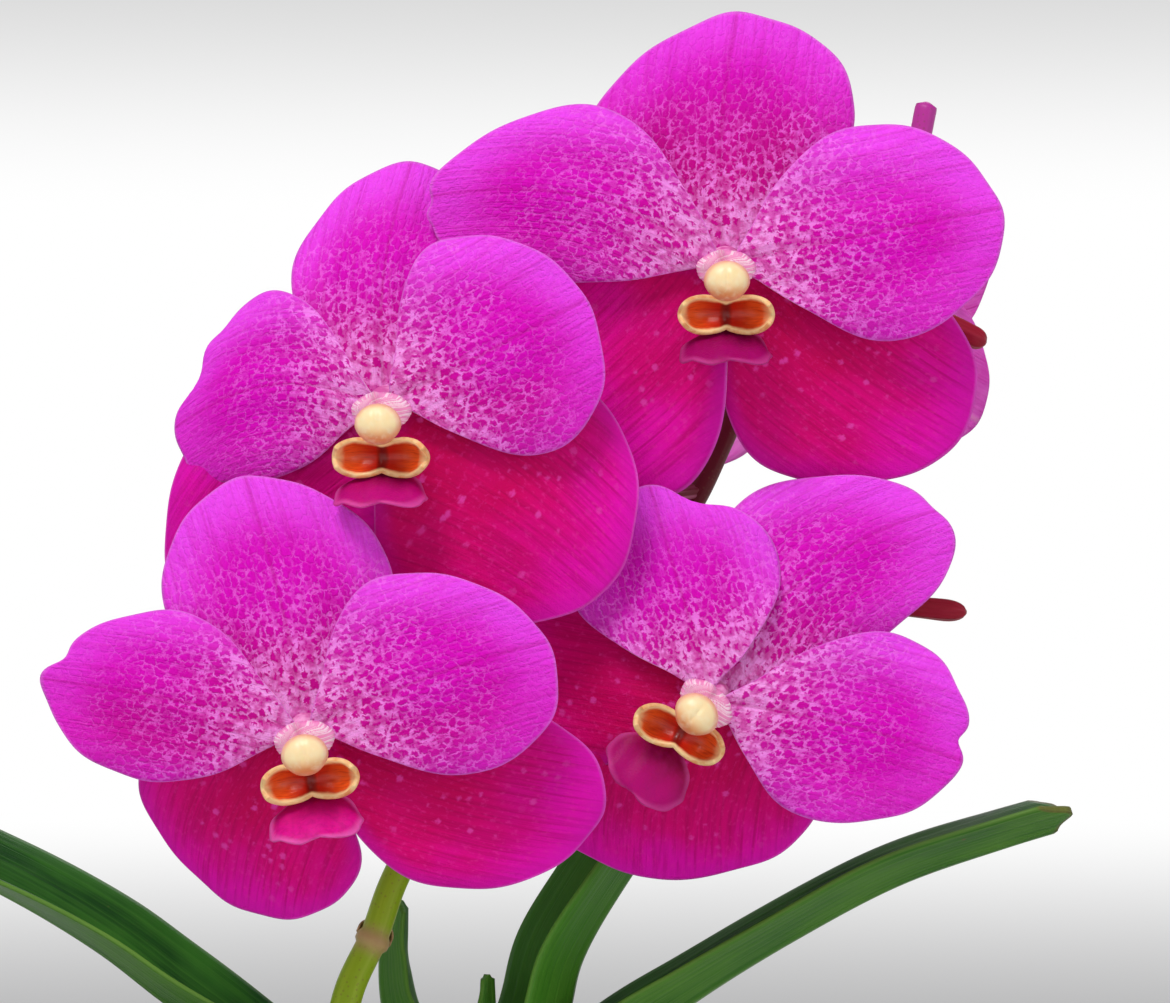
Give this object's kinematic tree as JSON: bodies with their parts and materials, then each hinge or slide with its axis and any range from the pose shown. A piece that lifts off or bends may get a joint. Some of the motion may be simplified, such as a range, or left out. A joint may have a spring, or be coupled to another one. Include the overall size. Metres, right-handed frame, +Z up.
{
  "type": "potted vanda orchid",
  "caption": "Potted vanda orchid with strap leaves in two ranks, aerial roots and an upright spike of spotted magenta blooms, in a plain clay pot of bark.",
  "frame": {"origin": "centre of the flat underside of the pot", "axes": "+Z up along the stem, +X to the right and -Y towards the viewer of the picture"},
  "size_m": [0.4564, 0.1478, 0.5106],
  "materials": {
    "clay": "matte terracotta",
    "bark": "rough bark chips",
    "stem": "satin green stalk",
    "leaf": "satin waxy leaf",
    "root": "matte silvery root skin",
    "spike": "satin green stalk",
    "petal": "soft magenta petal",
    "column": "soft pink flesh",
    "anther": "soft cream flesh",
    "throat": "soft orange flesh",
    "lip": "soft purple flesh",
    "pedicel": "satin crimson stalk"
  },
  "bodies": {
    "root": {"bark_bed": "bark", "bloom_back_left_cap": "anther", "bloom_back_left_column": "column", "bloom_back_left_mid_lobe": "lip", "bloom_back_left_pedicel": "pedicel", "bloom_back_left_side_lobes": "throat", "bloom_back_left_tepals": "petal", "bloom_back_top_cap": "anther", "bloom_back_top_column": "column", "bloom_back_top_mid_lobe": "lip", "bloom_back_top_pedicel": "pedicel", "bloom_back_top_side_lobes": "throat", "bloom_back_top_tepals": "petal", "bloom_left_cap": "anther", "bloom_left_column": "column", "bloom_left_mid_lobe": "lip", "bloom_left_pedicel": "pedicel", "bloom_left_side_lobes": "throat", "bloom_left_tepals": "petal", "bloom_low_cap": "anther", "bloom_low_column": "column", "bloom_low_mid_lobe": "lip", "bloom_low_pedicel": "pedicel", "bloom_low_side_lobes": "throat", "bloom_low_tepals": "petal", "bloom_right_cap": "anther", "bloom_right_column": "column", "bloom_right_mid_lobe": "lip", "bloom_right_pedicel": "pedicel", "bloom_right_side_lobes": "throat", "bloom_right_tepals": "petal", "bloom_top_cap": "anther", "bloom_top_column": "column", "bloom_top_mid_lobe": "lip", "bloom_top_pedicel": "pedicel", "bloom_top_side_lobes": "throat", "bloom_top_tepals": "petal", "leaf_arch_left": "leaf", "leaf_arch_right": "leaf", "leaf_bottom_left": "leaf", "leaf_bottom_right": "leaf", "leaf_low_left": "leaf", "leaf_low_right": "leaf", "leaf_mid_left": "leaf", "leaf_mid_right": "leaf", "leaf_spear": "leaf", "leaf_upper_right": "leaf", "leaf_young_left": "leaf", "pot": "clay", "root_1": "root", "root_2": "root", "root_3": "root", "root_4": "root", "root_5": "root", "spike": "spike", "stem": "stem"}
  },
  "joints": []
}
